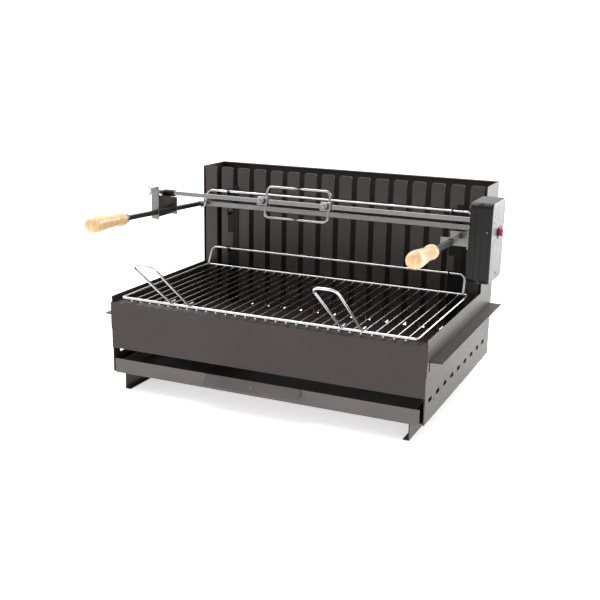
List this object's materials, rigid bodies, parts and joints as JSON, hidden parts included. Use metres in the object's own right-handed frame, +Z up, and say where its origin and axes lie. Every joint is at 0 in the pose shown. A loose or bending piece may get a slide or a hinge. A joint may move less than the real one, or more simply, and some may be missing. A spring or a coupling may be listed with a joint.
{
  "type": "rotisserie charcoal grill",
  "caption": "Sheet steel charcoal grill with an upright slatted hearth, wire grate, ash drawer and a battery driven spit on two sliding arms.",
  "frame": {"origin": "on the floor, under the middle of the whole object's box", "axes": "+X to the right seen from the front, +Y to the back, +Z up"},
  "size_m": [0.6886, 0.524, 0.379],
  "materials": {
    "black_coat": "satin powder coat",
    "drawer_coat": "satin powder coat",
    "slat_coat": "satin powder coat",
    "rack_coat": "satin powder coat",
    "chrome_wire": "bright plated",
    "chrome_rods": "bright plated",
    "chrome_bar": "bright plated",
    "zinc_plate": "dull zinc",
    "black_arm": "black coat",
    "steel": "plain",
    "beech": "varnished",
    "black_plastic": "fine grain",
    "red_plastic": "glossy",
    "gear_plastic": "moulded",
    "cell_jacket": "printed-free jacket",
    "contact_metal": "plated"
  },
  "bodies": {
    "firebox": {"left_side_panel": "black_coat", "right_side_panel": "black_coat", "front_panel": "black_coat", "back_panel": "black_coat", "charcoal_floor": "black_coat", "hearth_slats": "slat_coat", "slat_crossbars": "black_coat", "left_support_ledge": "black_coat", "right_support_ledge": "black_coat", "left_foot_rail": "black_coat", "right_foot_rail": "black_coat", "left_hook_rack": "rack_coat", "right_hook_rack": "rack_coat"},
    "ash_drawer": {"ash_drawer": "drawer_coat", "handle_rivet": "steel"},
    "grate": {"grate_frame": "chrome_wire", "grate_rods": "chrome_rods", "grate_stop_pegs": "chrome_rods", "grate_stop_wire": "chrome_rods", "grate_front_feet": "chrome_wire", "grate_back_rail": "chrome_wire", "left_lift_handle": "chrome_wire", "right_lift_handle": "chrome_wire"},
    "carrier": {"carrier_rail": "chrome_wire", "cross_bar": "zinc_plate", "left_carrier_arm": "black_arm", "right_carrier_arm": "black_arm", "left_wood_handle": "beech", "right_wood_handle": "beech", "arm_ferrules": "zinc_plate", "arm_bolts": "steel"},
    "rest_carriage": {"spit_rest": "zinc_plate"},
    "wing_screw": {"wing_screw": "steel"},
    "motor_carriage": {"motor_bracket": "zinc_plate", "case_inner_half": "black_plastic", "case_outer_half": "black_plastic", "case_screws": "steel", "battery_cells": "cell_jacket", "battery_contacts": "contact_metal", "switch_housing": "black_plastic", "idler_axle": "steel", "dc_motor": "steel"},
    "battery_cover": {"battery_cover": "black_plastic"},
    "rocker": {"rocker_switch": "red_plastic"},
    "drive": {"drive_gear": "gear_plastic"},
    "idler": {"idler_gear": "gear_plastic"},
    "pinion": {"motor_pinion": "contact_metal"},
    "spit": {"spit_rod": "chrome_bar", "spit_collar": "black_plastic"},
    "left_fork": {"left_fork_clamp": "chrome_bar", "left_fork_tines": "chrome_bar"},
    "left_fork_screw": {"left_fork_screw": "steel"},
    "right_fork": {"right_fork_clamp": "chrome_bar", "right_fork_tines": "chrome_bar"},
    "right_fork_screw": {"right_fork_screw": "steel"}
  },
  "joints": [
    {"name": "drawer_slide", "type": "slide", "parent": "firebox", "child": "ash_drawer", "axis": [0, -1, 0], "range_m": [0, 0.3]},
    {"name": "grate_lift", "type": "slide", "parent": "firebox", "child": "grate", "axis": [0, 0, 1], "range_m": [0, 0.055]},
    {"name": "carrier_lift", "type": "slide", "parent": "firebox", "child": "carrier", "axis": [0, 0, 1], "range_m": [0, 0.05]},
    {"name": "motor_travel", "type": "slide", "parent": "carrier", "child": "motor_carriage", "axis": [0, -0.9993, 0.0384], "range_m": [-0.07, 0.07]},
    {"name": "rest_travel", "type": "slide", "parent": "carrier", "child": "rest_carriage", "axis": [0, -0.9993, 0.0384], "range_m": [-0.07, 0.07]},
    {"name": "wing_screw_turn", "type": "hinge", "parent": "rest_carriage", "child": "wing_screw", "pos_m": [-0.3209, -0.023, 0.349], "axis": [1, 0, 0], "continuous": true},
    {"name": "cover_pull", "type": "slide", "parent": "motor_carriage", "child": "battery_cover", "axis": [1, 0, 0], "range_m": [0, 0.03]},
    {"name": "rocker_press", "type": "hinge", "parent": "motor_carriage", "child": "rocker", "pos_m": [0.3361, 0.029, 0.324], "axis": [0, 0, -1], "range_deg": [0, 12]},
    {"name": "drive_spin", "type": "hinge", "parent": "motor_carriage", "child": "drive", "pos_m": [0.2991, -0.001, 0.3445], "axis": [1, 0, 0], "continuous": true},
    {"name": "idler_spin", "type": "hinge", "parent": "motor_carriage", "child": "idler", "pos_m": [0.3091, 0.024, 0.3445], "axis": [1, 0, 0], "continuous": true},
    {"name": "pinion_spin", "type": "hinge", "parent": "motor_carriage", "child": "pinion", "pos_m": [0.3121, 0.04628, 0.35585], "axis": [1, 0, 0], "continuous": true},
    {"name": "spit_withdraw", "type": "slide", "parent": "drive", "child": "spit", "axis": [-1, 0, 0], "range_m": [0, 0.025]},
    {"name": "left_fork_slide", "type": "slide", "parent": "spit", "child": "left_fork", "axis": [-1, 0, 0], "range_m": [0, 0.15]},
    {"name": "right_fork_slide", "type": "slide", "parent": "spit", "child": "right_fork", "axis": [1, 0, 0], "range_m": [0, 0.2]},
    {"name": "left_fork_screw_turn", "type": "hinge", "parent": "left_fork", "child": "left_fork_screw", "pos_m": [-0.0969, -0.00876, 0.34644], "axis": [0, -0.9703, 0.2419], "continuous": true},
    {"name": "right_fork_screw_turn", "type": "hinge", "parent": "right_fork", "child": "right_fork_screw", "pos_m": [0.0291, -0.00876, 0.34644], "axis": [0, -0.9703, 0.2419], "continuous": true}
  ],
  "couplings": [
    {"joint": "rest_travel", "follows": "motor_travel", "ratio": 1},
    {"joint": "idler_spin", "follows": "drive_spin", "ratio": -4},
    {"joint": "pinion_spin", "follows": "drive_spin", "ratio": 16}
  ]
}
